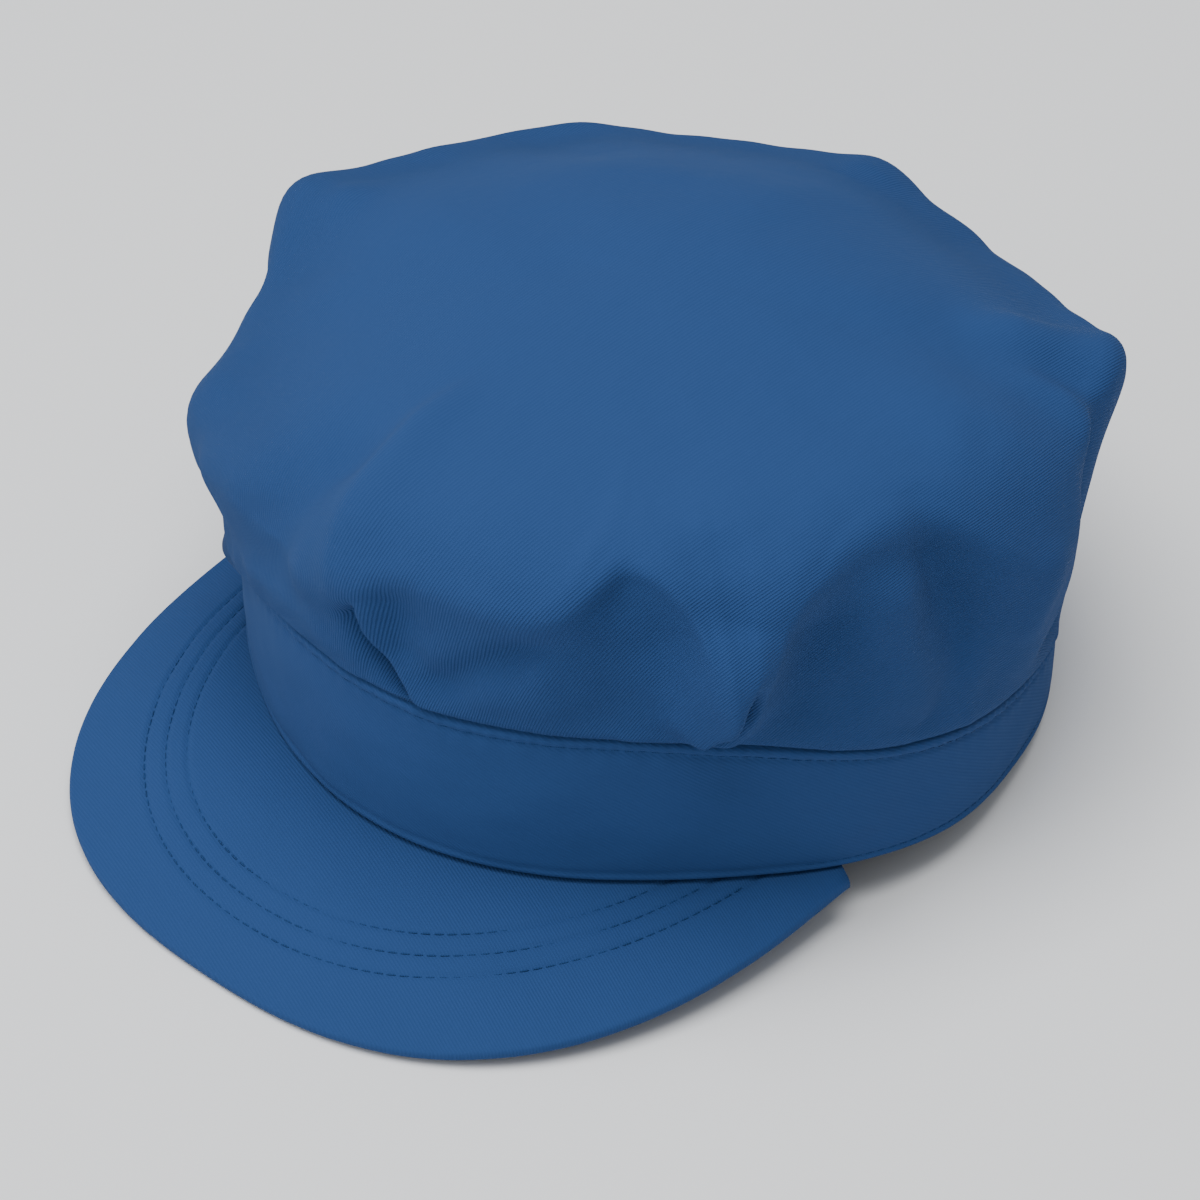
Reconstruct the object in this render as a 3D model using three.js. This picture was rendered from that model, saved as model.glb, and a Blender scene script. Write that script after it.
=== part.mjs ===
import * as THREE from 'three';

// A soft cloth cap lying on a flat surface: a full crown pleated into a band, and a stitched peak.
// Millimetres and degrees. Up is +Z, the peak points to -Y, and angles run round the cap
// from its front towards +X, the wearer's left.

// Cloth walls
const CROWN_WALL = 1.5;
const BAND_WALL = 2.4;
const PEAK_WALL = 2.6;
const SEAM_GAP = 0.3;

// How the cap lies: tipped back on the rear of its band, with the peak's rim on the surface
const TIP_BACK = 6.2;
const REST_LINE_Y = 81;

// Crown
const CROWN_TOP = 104;
const HELD_CLIMB = 0.4;
const LIP_OUT = 1.9;
const LIP_CLEAR = 0.4;
const SEAM_INSET = 0.4;
const INNER_EASE = 0.8;
const BELLY_OUT = 0.62;
const BELLY_UP = 0.42;
const BROW_IN = 0.86;
const CREST_IN = 0.46;
const CREST_DROP = 0.24;

// Peak, whose outline is a superellipse round a point behind its rim
const PEAK_HALF_WIDTH = 85;
const PEAK_LENGTH = 98;
const PEAK_CENTRE_X = -0.5;
const PEAK_CENTRE_Y = -35;
const PEAK_SQUARENESS = 2.5;
const PEAK_SPREAD = 68;
const PEAK_RIM_DROP_BACK = 9;
const PEAK_DOME = 2.5;

// Mesh
const AROUND = 120;
const PEAK_ACROSS = 7;
const PEAK_ALONG = 48;
const CROWN_CLIMBS = [0, 0.22, 0.5, 0.8, 1.1, 1.4, 1.7, 1.95, 2.2, 2.45, 2.7, 3, 3.35, 3.8, 4.35, 5];

// One row for each direction that gives the cap its shape. foot is the band's outer radius and
// band its height; droop is how far the crown's cloth hangs over the band, and bulge swells it
// above that; shoulder and shoulderUp are the radius and height where the side turns over, and
// browUp is the height a little further in.
const SECTIONS = [
  { at: -172, foot: 88, band: 21, droop: 1, bulge: 0, shoulder: 96, shoulderUp: 72, browUp: 79 },
  { at: -148, foot: 88, band: 21, droop: 1, bulge: 0, shoulder: 94, shoulderUp: 72, browUp: 80 },
  { at: -124, foot: 87, band: 21, droop: 1, bulge: 0, shoulder: 97.5, shoulderUp: 76, browUp: 83 },
  { at: -104, foot: 87, band: 21, droop: 1, bulge: 0, shoulder: 94.5, shoulderUp: 79, browUp: 86 },
  { at: -85, foot: 87, band: 22, droop: 2, bulge: 0, shoulder: 97.5, shoulderUp: 81, browUp: 88 },
  { at: -66, foot: 87.5, band: 24, droop: 5, bulge: -1, shoulder: 91.5, shoulderUp: 74, browUp: 85 },
  { at: -48, foot: 88, band: 27, droop: 8, bulge: -2.5, shoulder: 95.5, shoulderUp: 69, browUp: 81 },
  { at: -29, foot: 88.5, band: 33.5, droop: 4, bulge: -1.5, shoulder: 95, shoulderUp: 74, browUp: 86 },
  { at: -12, foot: 91.5, band: 37, droop: 0.5, bulge: 0, shoulder: 96, shoulderUp: 78, browUp: 92 },
  { at: 2, foot: 94, band: 38, droop: 0, bulge: 0, shoulder: 97, shoulderUp: 79, browUp: 96 },
  { at: 14, foot: 94.5, band: 38, droop: 0, bulge: 0, shoulder: 96, shoulderUp: 83, browUp: 97 },
  { at: 28, foot: 92.5, band: 38, droop: 0.5, bulge: 1, shoulder: 96, shoulderUp: 85, browUp: 97 },
  { at: 42, foot: 89.5, band: 37.5, droop: 1, bulge: 1, shoulder: 96, shoulderUp: 86, browUp: 97 },
  { at: 55, foot: 88.5, band: 36, droop: 1.5, bulge: 2, shoulder: 97, shoulderUp: 83, browUp: 97 },
  { at: 70, foot: 90, band: 33, droop: 2.5, bulge: 1, shoulder: 95, shoulderUp: 83, browUp: 96 },
  { at: 85, foot: 90.5, band: 30, droop: 4, bulge: 1, shoulder: 95.5, shoulderUp: 77, browUp: 94 },
  { at: 102, foot: 88, band: 26, droop: 6, bulge: 0, shoulder: 97, shoulderUp: 73, browUp: 93 },
  { at: 116, foot: 87.5, band: 24, droop: 6, bulge: -1, shoulder: 94, shoulderUp: 78, browUp: 89 },
  { at: 132, foot: 87.5, band: 23, droop: 5, bulge: -2, shoulder: 96, shoulderUp: 81, browUp: 86 },
  { at: 150, foot: 88, band: 22, droop: 3, bulge: -1, shoulder: 94, shoulderUp: 73, browUp: 81 },
  { at: 168, foot: 88, band: 21, droop: 1, bulge: 0, shoulder: 94.5, shoulderUp: 67, browUp: 78 },
];

// Folds in the crown: at is the direction at the seam, lean its drift for each step of climb,
// width its half width, from and to its reach in climb, and out its height (inwards if negative).
const FOLDS = [
  { name: 'front pleat', at: 12, lean: -5, width: 4, from: -0.4, to: 2.2, out: -6.5 },
  { name: 'beside front pleat', at: 20, lean: -5, width: 6, from: 0, to: 2.6, out: 2.5 },
  { name: 'left hollow', at: -18, lean: 2, width: 12, from: 0.8, to: 3.2, out: -3.5 },
  { name: 'left leg of the tent', at: 13, lean: 10, width: 6, from: 0, to: 2.8, out: -3.5 },
  { name: 'right leg of the tent', at: 48, lean: -3, width: 4, from: 0, to: 2.8, out: -3 },
  { name: 'second pleat ridge', at: 50, lean: 3, width: 5, from: -0.6, to: 2.6, out: 3.5 },
  { name: 'second pleat', at: 57, lean: 2, width: 4, from: 0, to: 1.4, out: -4 },
  { name: 'side hollow', at: 69, lean: 1, width: 8, from: 0.3, to: 3, out: -7 },
  { name: 'side swell', at: 79, lean: 0, width: 5, from: -0.4, to: 1.2, out: 2.5 },
  { name: 'side valley', at: 86, lean: 0, width: 5, from: 0.4, to: 2.6, out: -3.5 },
  { name: 'side corner', at: 101, lean: 0, width: 5, from: 0.8, to: 3.2, out: 1.5 },
  { name: 'corner tuck', at: 113, lean: 0, width: 6, from: 0, to: 2.8, out: -3.5 },
  { name: 'right corner', at: 131, lean: 0, width: 6, from: 1.4, to: 3.4, out: 3 },
  { name: 'rear tuck', at: 150, lean: 1, width: 7, from: 0, to: 2, out: -2.5 },
  { name: 'back corner', at: -171, lean: 0, width: 6, from: 1.4, to: 3, out: 2.5 },
  { name: 'back tuck', at: -156, lean: -1, width: 7, from: 0, to: 1.8, out: -2.5 },
  { name: 'back left tuck', at: -136, lean: 1, width: 7, from: 0, to: 1.9, out: -2.5 },
  { name: 'left tuck', at: -104, lean: 1, width: 7, from: 0, to: 2, out: -2.5 },
  { name: 'rear left corner', at: -85, lean: 0, width: 6, from: 1.4, to: 3.2, out: 2.5 },
  { name: 'left front tuck', at: -68, lean: 0, width: 7, from: 0, to: 2.4, out: -2.5 },
  { name: 'left corner', at: -47, lean: 0, width: 6, from: 1, to: 2.9, out: 3.5 },
  { name: 'crease over the top', at: -150, lean: 0, width: 9, from: 2.8, to: 4.6, out: -1.5 },
];

// Smooth periodic value of one column of the sections at any direction
function column(name, angle) {
  const count = SECTIONS.length;
  const first = SECTIONS[0].at;
  const turned = first + ((((angle - first) % 360) + 360) % 360);
  let index = count - 1;
  while (SECTIONS[index].at > turned) index -= 1;
  const row = (step) => SECTIONS[(index + step + count) % count];
  const place = (step) => row(step).at + 360 * Math.floor((index + step) / count);
  const slope = (step) =>
    (row(step + 1)[name] - row(step - 1)[name]) / (place(step + 1) - place(step - 1));
  const length = place(1) - place(0);
  const u = (turned - place(0)) / length;
  const start = (1 + 2 * u) * (1 - u) ** 2 * row(0)[name] + u * (1 - u) ** 2 * length * slope(0);
  const end = u * u * (3 - 2 * u) * row(1)[name] + u * u * (u - 1) * length * slope(1);
  return start + end;
}

function polar(angle, radius, height) {
  const turn = THREE.MathUtils.degToRad(angle);
  return new THREE.Vector3(radius * Math.sin(turn), -radius * Math.cos(turn), height);
}

// Height of the band's lower edge over the surface: level at the back and rising to the front
function footUp(angle) {
  const y = polar(angle, column('foot', angle), 0).y;
  return Math.max(0, (REST_LINE_Y - y) * Math.tan(THREE.MathUtils.degToRad(TIP_BACK)));
}

function seamUp(angle) {
  return footUp(angle) + column('band', angle);
}

// The crown's section in one direction, from its lip over belly, shoulder, brow and crest to
// the middle, and past the middle so that the top is level there
function crownKnots(angle) {
  const lip = new THREE.Vector2(
    column('foot', angle) + LIP_OUT,
    seamUp(angle) + SEAM_GAP - column('droop', angle),
  );
  const shoulder = new THREE.Vector2(column('shoulder', angle), column('shoulderUp', angle));
  const belly = new THREE.Vector2(
    THREE.MathUtils.lerp(lip.x, shoulder.x, BELLY_OUT) + column('bulge', angle),
    THREE.MathUtils.lerp(lip.y, shoulder.y, BELLY_UP),
  );
  const brow = new THREE.Vector2(shoulder.x * BROW_IN, column('browUp', angle));
  const crest = new THREE.Vector2(
    shoulder.x * CREST_IN,
    CROWN_TOP - (CROWN_TOP - brow.y) * CREST_DROP,
  );
  const middle = new THREE.Vector2(0, CROWN_TOP);
  const beyond = new THREE.Vector2(-crest.x, crest.y);
  const below = lip.clone().multiplyScalar(2).sub(belly);
  return [below, lip, belly, shoulder, brow, crest, middle, beyond];
}

// Catmull-Rom curve through the knots; climb 0 is the lip and 5 the middle of the top
function crownSmooth(angle, climb) {
  const knots = crownKnots(angle);
  const step = Math.min(Math.floor(climb), 4);
  const u = climb - step;
  const [a, b, c, d] = knots.slice(step, step + 4);
  const blend = (p, q, r, s) =>
    0.5 * (2 * q + (r - p) * u + (2 * p - 5 * q + 4 * r - s) * u * u + (3 * q - p - 3 * r + s) * u ** 3);
  return polar(angle, blend(a.x, b.x, c.x, d.x), blend(a.y, b.y, c.y, d.y));
}

// How far the folds push the cloth out: a bell across each fold, eased in and out along it,
// and nothing where the band holds the cloth
function foldOut(angle, climb) {
  let out = 0;
  for (const fold of FOLDS) {
    const centre = fold.at + fold.lean * climb;
    const across = ((((angle - centre + 180) % 360) + 360) % 360) - 180;
    const bell = Math.exp(-((across / fold.width) ** 2));
    const along = THREE.MathUtils.clamp((climb - fold.from) / (fold.to - fold.from), 0, 1);
    out += fold.out * bell * Math.sin(Math.PI * along);
  }
  return out * Math.min(1, climb / HELD_CLIMB);
}

function crownPoint(angle, climb, depth) {
  const here = crownSmooth(angle, climb);
  if (climb >= 5) return here.setZ(here.z - depth);
  const nudge = 0.01;
  const onward = crownSmooth(angle + nudge, climb).sub(here);
  const upward = crownSmooth(angle, Math.min(climb + nudge, 5)).sub(here);
  const outward = onward.cross(upward).normalize();
  if (climb === 0) outward.setZ(0).normalize();
  return here.addScaledVector(outward, foldOut(angle, climb) - depth);
}

// Skin over a row of sections, each a closed loop of points. Joined sections go all the way
// round; otherwise both ends are capped. Triangles without area, at a pole, are left out.
function loft(sections, joined) {
  const places = [];
  const known = new Map();
  const indexOf = (point) => {
    const key = point.toArray().map((value) => value.toFixed(5)).join();
    if (!known.has(key)) known.set(key, places.push(point) - 1);
    return known.get(key);
  };
  const loops = sections.map((section) => section.map(indexOf));
  const faces = [];
  const face = (a, b, c) => {
    if (a !== b && b !== c && a !== c) faces.push([a, b, c]);
  };
  const size = loops[0].length;
  const last = joined ? loops.length : loops.length - 1;
  for (let i = 0; i < last; i += 1) {
    const here = loops[i];
    const next = loops[(i + 1) % loops.length];
    for (let j = 0; j < size; j += 1) {
      const k = (j + 1) % size;
      face(here[j], next[j], next[k]);
      face(here[j], next[k], here[k]);
    }
  }
  if (!joined) {
    const final = loops[loops.length - 1];
    for (let j = 1; j < size - 1; j += 1) {
      face(loops[0][0], loops[0][j], loops[0][j + 1]);
      face(final[0], final[j + 1], final[j]);
    }
  }
  let volume = 0;
  for (const [a, b, c] of faces) {
    volume += places[a].dot(places[b].clone().cross(places[c]));
  }
  const turned = volume < 0 ? faces.map(([a, b, c]) => [a, c, b]) : faces;
  const geometry = new THREE.BufferGeometry().setFromPoints(places);
  geometry.setIndex(turned.flat());
  geometry.computeVertexNormals();
  return geometry;
}

function directions() {
  return Array.from({ length: AROUND }, (unused, i) => -180 + (360 * i) / AROUND);
}

// Inside of the crown: it starts on the band's top edge and eases out to one wall's thickness
function crownInside(angle, climb) {
  const foot = column('foot', angle);
  const seam = polar(angle, foot - SEAM_INSET - CROWN_WALL, seamUp(angle) + SEAM_GAP);
  const lining = crownPoint(angle, climb, CROWN_WALL);
  return seam.lerp(lining, THREE.MathUtils.smoothstep(climb, 0, INNER_EASE));
}

// Crown: one piece of cloth, open below. Its lip hangs just clear of the band's outer face
function crownGeometry() {
  const sections = directions().map((angle) => {
    const clear = column('foot', angle) + LIP_CLEAR;
    const outside = CROWN_CLIMBS.map((climb) => crownPoint(angle, climb, 0));
    const inside = CROWN_CLIMBS.map((climb) => crownInside(angle, climb));
    const lip = polar(angle, clear, outside[0].z);
    const corner = polar(angle, clear, inside[0].z);
    return [...outside.reverse(), lip, corner, ...inside];
  });
  return loft(sections, true);
}

// Band: an upright doubled strip, higher in front
function bandGeometry() {
  const sections = directions().map((angle) => {
    const foot = column('foot', angle);
    const low = footUp(angle);
    const high = seamUp(angle);
    const middle = (low + high) / 2;
    return [
      polar(angle, foot, low),
      polar(angle, foot + SEAM_GAP, middle),
      polar(angle, foot, high),
      polar(angle, foot - BAND_WALL, high),
      polar(angle, foot - BAND_WALL, low),
    ];
  });
  return loft(sections, true);
}

// A point of the peak's rim, in plan, for a turn of -90 to 90 degrees round the outline's centre
function rimPlan(turn) {
  const angle = THREE.MathUtils.degToRad(turn);
  const side = Math.abs(Math.sin(angle)) ** (2 / PEAK_SQUARENESS) * Math.sign(turn);
  const ahead = Math.abs(Math.cos(angle)) ** (2 / PEAK_SQUARENESS);
  return new THREE.Vector2(
    PEAK_CENTRE_X + PEAK_HALF_WIDTH * side,
    PEAK_CENTRE_Y - PEAK_LENGTH * ahead,
  );
}

// Height of the underside of the rim, which touches the surface in front
function rimUp(y) {
  const back = (y - PEAK_CENTRE_Y + PEAK_LENGTH) / PEAK_LENGTH;
  return PEAK_RIM_DROP_BACK * back;
}

// Top of the peak between the band (across 0) and the rim (across 1), a little domed
function peakPoint(turn, across, depth) {
  const angle = (turn / 90) * PEAK_SPREAD;
  const root = polar(angle, column('foot', angle) - BAND_WALL, footUp(angle) - SEAM_GAP);
  const rim = rimPlan(turn);
  const tip = new THREE.Vector3(rim.x, rim.y, rimUp(rim.y) + PEAK_WALL);
  const reach = root.distanceTo(tip) / PEAK_LENGTH;
  const point = root.lerp(tip, across);
  point.z += PEAK_DOME * reach * Math.sin(Math.PI * across) - depth;
  return point;
}

// Peak: a stiffened, stitched flap whose root lies under the band
function peakGeometry() {
  const sections = [];
  for (let i = 0; i <= PEAK_ALONG; i += 1) {
    const turn = -90 + (180 * i) / PEAK_ALONG;
    const steps = Array.from({ length: PEAK_ACROSS + 1 }, (unused, j) => j / PEAK_ACROSS);
    const top = steps.map((across) => peakPoint(turn, across, 0));
    const underside = steps.map((across) => peakPoint(turn, across, PEAK_WALL));
    sections.push([...top, ...underside.reverse()]);
  }
  return loft(sections, false);
}

const cloth = (colour) =>
  new THREE.MeshStandardMaterial({ color: colour, roughness: 0.85, metalness: 0, side: THREE.FrontSide });

function piece(name, geometry, colour) {
  const mesh = new THREE.Mesh(geometry, cloth(colour));
  mesh.name = name;
  return mesh;
}

const cap = new THREE.Group();
cap.add(piece('crown', crownGeometry(), 0x2e5c92));
cap.add(piece('band', bandGeometry(), 0x28527f));
cap.add(piece('peak', peakGeometry(), 0x2c5889));

// The frame's origin is under the middle of the whole cap, on the surface
const box = new THREE.Box3().setFromObject(cap);
const centre = box.getCenter(new THREE.Vector3());
cap.position.set(-centre.x, -centre.y, -box.min.z);
cap.updateMatrixWorld(true);

export default cap;
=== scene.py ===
"""A blue cloth kitchen cap that lies on its band and on the rim of its peak.

The crown, the band and the peak are surfaces of cotton twill with real thickness, and the
stitches are thread. Lengths in the tables and the shape functions are millimetres, and the
meshes are made in metres. Angles are degrees round the cap, from its front towards +X.
"""

import math

import bmesh
import bpy
import numpy as np
from mathutils import Matrix, Vector


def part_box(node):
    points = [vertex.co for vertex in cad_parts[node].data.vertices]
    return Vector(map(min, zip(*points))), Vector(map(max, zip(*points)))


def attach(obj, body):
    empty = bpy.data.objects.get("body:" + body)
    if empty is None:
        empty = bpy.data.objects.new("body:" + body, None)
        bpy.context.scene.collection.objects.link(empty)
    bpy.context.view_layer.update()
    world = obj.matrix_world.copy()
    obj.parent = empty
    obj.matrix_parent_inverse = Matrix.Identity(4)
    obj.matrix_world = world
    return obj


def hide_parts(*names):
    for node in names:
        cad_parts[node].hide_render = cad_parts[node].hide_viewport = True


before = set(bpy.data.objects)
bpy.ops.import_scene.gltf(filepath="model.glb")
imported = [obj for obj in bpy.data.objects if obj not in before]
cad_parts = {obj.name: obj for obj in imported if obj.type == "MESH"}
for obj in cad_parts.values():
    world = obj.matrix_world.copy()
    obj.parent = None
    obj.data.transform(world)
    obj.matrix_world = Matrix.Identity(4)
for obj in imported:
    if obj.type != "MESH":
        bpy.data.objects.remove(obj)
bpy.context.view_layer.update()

MM = 0.001

# How the cap lies: tipped back on the rear of its band
TIP_BACK = 6.2
REST_LINE_Y = 81

# Cloth walls
CROWN_WALL = 1.2
BAND_WALL = 2.4
PEAK_WALL = 2.6

# Crown: its top; where the belly lies, as shares of the way out and up from the seam to the
# shoulder; the radius of the brow and the crest as shares of the shoulder's; the share of the
# brow's drop that the crest has; and the climbs at the two ends of its section
CROWN_TOP = 104
BELLY_OUT = 0.62
BELLY_UP = 0.42
BROW_IN = 0.86
CREST_IN = 0.46
CREST_DROP = 0.24
ROOT_CLIMB = -3
TOP_CLIMB = 5

# Peak, whose outline is a superellipse round a point behind its rim: its half width, length,
# centre and power; the direction to each side where it leaves the band; the rise of its rim from
# the front to the back, and of its middle over the straight line; and where its root meets the
# band: how far below the band's edge, and the share of the way out that has no slack
PEAK_HALF_WIDTH = 86
PEAK_LENGTH = 99.5
PEAK_CENTRE = (-0.5, -35)
PEAK_SQUARENESS = 2.5
PEAK_SPREAD = 68
PEAK_RIM_DROP_BACK = 9
PEAK_DOME = 2.5
PEAK_ROOT_DOWN = 0.3
PEAK_ROOT_STILL = 0.2

# One row for each direction that gives the cap its shape. foot is the band's outer radius and
# band its height; droop is how far the crown's cloth hangs over the band, and bulge swells it
# above that; shoulder and shoulder_up are the radius and height where the side turns over, and
# brow_up is the height a little further in.
SECTION_COLUMNS = ("at", "foot", "band", "droop", "bulge", "shoulder", "shoulder_up", "brow_up")
SECTIONS = np.array([
    (-172, 88, 21, 1, 0, 96, 73.5, 81),
    (-148, 88, 21, 1, 0, 94, 73.5, 82),
    (-124, 87, 21, 1, 0, 97.5, 76, 83),
    (-104, 87, 21, 1, 0, 94.5, 79, 86),
    (-85, 87, 22, 2, 0, 97.5, 81, 88),
    (-66, 87.5, 24, 5, -1, 91.5, 74, 85),
    (-48, 88, 27, 8, -2.5, 95.5, 69, 81),
    (-29, 88.5, 33.5, 4, -1.5, 95, 74, 86),
    (-12, 91.5, 37, 0.5, 0, 96, 78, 92),
    (2, 94, 38, 0, 0, 97, 79, 96),
    (14, 94.5, 38, 0, 0, 96, 83, 97),
    (28, 92.5, 38, 0.5, 1, 96, 85, 97),
    (42, 89.5, 37.5, 1, 1, 96, 86, 97),
    (55, 88.5, 35.2, 0.3, 2, 97, 83, 97),
    (70, 90, 30.7, 0, 1, 95, 83, 96),
    (85, 90.5, 27.2, 0, 1, 95.5, 77, 94),
    (102, 88, 22.5, 0, 0, 97, 73, 93),
    (116, 87.5, 19.5, 0, -1, 94, 78, 89),
    (132, 87.5, 18.3, 0, -2, 96, 81, 86),
    (150, 88, 20, 0, -1, 94, 73, 81),
    (168, 88, 21, 0.5, 0, 94.5, 67, 78),
], float)

# Soft folds of the crown. Each runs from one place to another, given as a direction and a climb
# up the cloth; bend bows it sideways. left and right are its half widths in millimetres, out its
# height (a hollow if negative) and tilt a slope across it, which lifts its left side. Below the
# table: a fold's length over that in which it rises or falls, and the weight of the tilt.
FOLD_COLUMNS = ("at", "climb", "to_at", "to_climb", "bend", "left", "right", "out", "tilt")
FOLDS = {
    "roll over the front pleat": (4.5, 1.3, -6, 4.0, 0, 5, 9, 2.5, 0),
    "wedge by the front pleat": (11.6, 0.3, 8.2, 2.4, 0, 3.5, 6, -2.8, 0),
    "left hollow": (-15, 0.6, -9, 3.6, 0, 15, 9, -5.2, 0),
    "crease from the front pleat": (10, -1.6, 34, 1.9, 0, 5.6, 5.2, -2.7, -0.9),
    "swell under the crease": (25, 0.0, 37, 1.0, 0, 6, 7, 0.8, 0),
    "tent hollow": (38.5, 2.9, 39.5, 1.2, 0, 9, 9, -0.4, 0),
    "second pleat lobe": (46.3, -0.9, 54.2, 2.2, 0, 7.5, 6.5, 6.6, 0),
    "slope above the lobe": (50, 1.3, 51, 3.2, 0, 9, 9, -2.0, 0),
    "side hollow": (60, 0.0, 64, 2.4, 0, 7, 8, -2.6, 0),
    "side swell": (79, 0.0, 73, 2.6, 0, 10, 6, 3.2, 0),
    "side valley": (87.5, 0.5, 79, 3.1, 0, 5.5, 6, -3.5, 0),
    "side roll": (96, 0.8, 99, 2.2, 0, 6, 6, 1.4, 0),
    "corner turn": (106, 0.2, 124, 3.3, 3, 6, 7, 0, 2.2),
    "corner tuck": (113, -0.1, 116, 2.4, 0, 9, 9, -4.6, 0),
    "right corner": (131, 1.4, 131, 3.6, 0, 9, 10, 3.8, 0),
    "rear tuck": (150, 0.0, 154, 2.1, 0, 11, 11, -2.6, 0),
    "back corner": (-171, 1.4, -171, 3.1, 0, 9, 9, 2.5, 0),
    "back tuck": (-156, 0.0, -159, 1.9, 0, 11, 11, -2.5, 0),
    "back left tuck": (-136, 0.0, -133, 2.0, 0, 11, 11, -2.5, 0),
    "left tuck": (-104, 0.0, -102, 2.1, 0, 11, 11, -2.5, 0),
    "rear left corner": (-85, 1.4, -85, 3.3, 0, 9, 9, 2.5, 0),
    "left front tuck": (-68, 0.0, -68, 2.5, 0, 11, 11, -2.5, 0),
    "left corner": (-47, 1.0, -47, 3.0, 0, 9, 9, 2.2, 0),
}
FOLD_FADE = 3.6
FOLD_TILT = 1.6

# The edge where the crown's top turns down into its side, which is crisp in front: its climb
# in each direction, how far the cloth below it is drawn straight down to the seam (1 is all the
# way), and over how many millimetres it turns. Below the table: how far the cloth above the edge
# puffs out; where the drawing starts and over how much, both against that width; how far past the
# edge the straight line goes on; the millimetres of cloth in one step of climb, and those next to
# the seam that stay free; and the mean that rounds the corners of the table.
EDGE_COLUMNS = ("at", "climb", "drawn", "wide")
EDGE = np.array([
    (-150, 2.3, 0.1, 8),
    (-60, 2.2, 0.1, 8),
    (-20, 2.3, 0.1, 8),
    (1, 1.95, 0.3, 5),
    (6, 2.1, 0.9, 4),
    (10.5, 2.2, 1.15, 4),
    (17.5, 2.08, 1.0, 4),
    (24, 2.0, 1.0, 4),
    (29, 1.98, 1.1, 4.5),
    (32.5, 2.16, 1.15, 5),
    (35, 2.5, 1.05, 6),
    (38.5, 2.9, 0.75, 10),
    (43.5, 2.64, 1.0, 6),
    (46, 2.34, 1.0, 5),
    (48, 2.04, 1.0, 4.5),
    (50, 1.4, 0.9, 4),
    (52, 0.3, 0.8, 4),
    (54.5, 1.2, 0.9, 4),
    (56, 1.76, 1.0, 4.5),
    (60.5, 2.28, 1.1, 6),
    (68, 2.66, 0.95, 11),
    (75, 2.8, 0.9, 13),
    (82, 2.74, 1.0, 11),
    (86, 2.54, 1.1, 8),
    (89.5, 2.24, 1.0, 6),
    (95, 1.85, 0.8, 6),
    (103, 1.7, 0.3, 8),
    (130, 2.2, 0.1, 8),
    (170, 2.2, 0.1, 8),
], float)
EDGE_PUFF = 1.2
EDGE_START = 0.6
EDGE_OVER = 1.2
EDGE_PAST = 1.1
EDGE_STEP_MM = 18
SEAM_FREE = 4
EDGE_ROUNDING = ((-2, 0.1), (-1, 0.25), (0, 0.3), (1, 0.25), (2, 0.1))

# Pleats, where the cloth on one side dives under the cloth on the other. lean is the drift for
# each step of climb and bow what its square adds; foot and top are the climbs where the pleat
# starts and opens out; covers is 1 where the right side lies on top and -1 where the left does;
# dive is how far the cloth goes under and lip how far the covering cloth stands up; reach and back
# are how far each spreads, and over is how far the lip leans over. Below the table: the radius of
# the lip's roll, the power of the dive, the climbs over which a pleat and a gather start, the share
# of a pleat's height in which it opens out, how many rolls the lean spreads over, and how much
# deeper and wider the hollow inside is.
PLEAT_COLUMNS = (
    "at", "lean", "bow", "foot", "top", "covers", "dive", "lip", "reach", "back", "over"
)
PLEATS = {
    "front pleat": (13.0, -8.3, 2.1, -0.4, 2.02, 1, 8.0, 1.2, 4.4, 7.0, 0.8),
    "second pleat": (46.4, 4.5, 0, 0.1, 1.75, -1, 8.0, 1.0, 3.4, 7.0, 1.3),
    "rear right gather": (140, -2.0, 0, -0.9, 1.0, 1, 1.6, 0.9, 3.0, 6.0, 1.2),
    "right back gather": (161, 1.5, 0, -0.9, 1.2, 1, 1.6, 0.9, 3.0, 6.0, 1.2),
    "back gather": (176, -1.0, 0, -0.9, 0.9, -1, 1.4, 0.8, 3.0, 6.0, 1.2),
    "left back gather": (-147, 1.5, 0, -0.9, 1.1, -1, 1.6, 0.9, 3.0, 6.0, 1.2),
    "rear left gather": (-121, -1.5, 0, -0.9, 1.0, 1, 1.5, 0.8, 3.0, 6.0, 1.2),
    "left gather": (-94, 1.5, 0, -0.9, 0.9, -1, 1.4, 0.8, 3.0, 6.0, 1.2),
}
PLEAT_ROLL = 1.6
PLEAT_DIVE_POWER = 1.4
PLEAT_RISE = 0.6
GATHER_RISE = 0.9
GATHER_FOOT = -0.5
PLEAT_OPENS = 0.35
LEAN_ROLLS = 2.4
INSIDE_DEEPER = 0.6
INSIDE_WIDER = 2

# Broad, shallow creases across the top of the crown, in plan: where each starts and ends, its
# half width and its height
TOP_COLUMNS = ("x", "y", "to_x", "to_y", "wide", "out")
TOP_CREASES = {
    "long crease": (-80, 12, 10, -14, 11, -1.0),
    "rear crease": (-84, 48, -40, 34, 8, -0.8),
    "right crease": (60, 50, 40, -2, 16, -0.9),
    "front right crease": (74, 8, 92, 20, 9, -0.8),
    "left facet": (-90, -14, -66, -36, 9, -0.9),
    "middle swell": (-36, -34, 30, 44, 26, 0.8),
}

# Flat map of the crown: millimetres of cloth for each degree round it, and up it at each climb
ROUND_MM = 1.62
CLIMB_STEPS = (-3, -2, -1, 0, 1, 2, 3, 4, 5)
CLIMB_MM = (-6, -3, -1.5, 0, 16, 34, 54, 92, 136)


def smooth(x):
    """3x^2 - 2x^3 between 0 and 1, level outside."""
    t = np.clip(x, 0, 1)
    return t * t * (3 - 2 * t)


def bell(x):
    """exp(-x^2)."""
    return np.exp(-x * x)


def turned(angle):
    """The same direction between -180 and 180 degrees."""
    return (angle + 180) % 360 - 180


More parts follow.
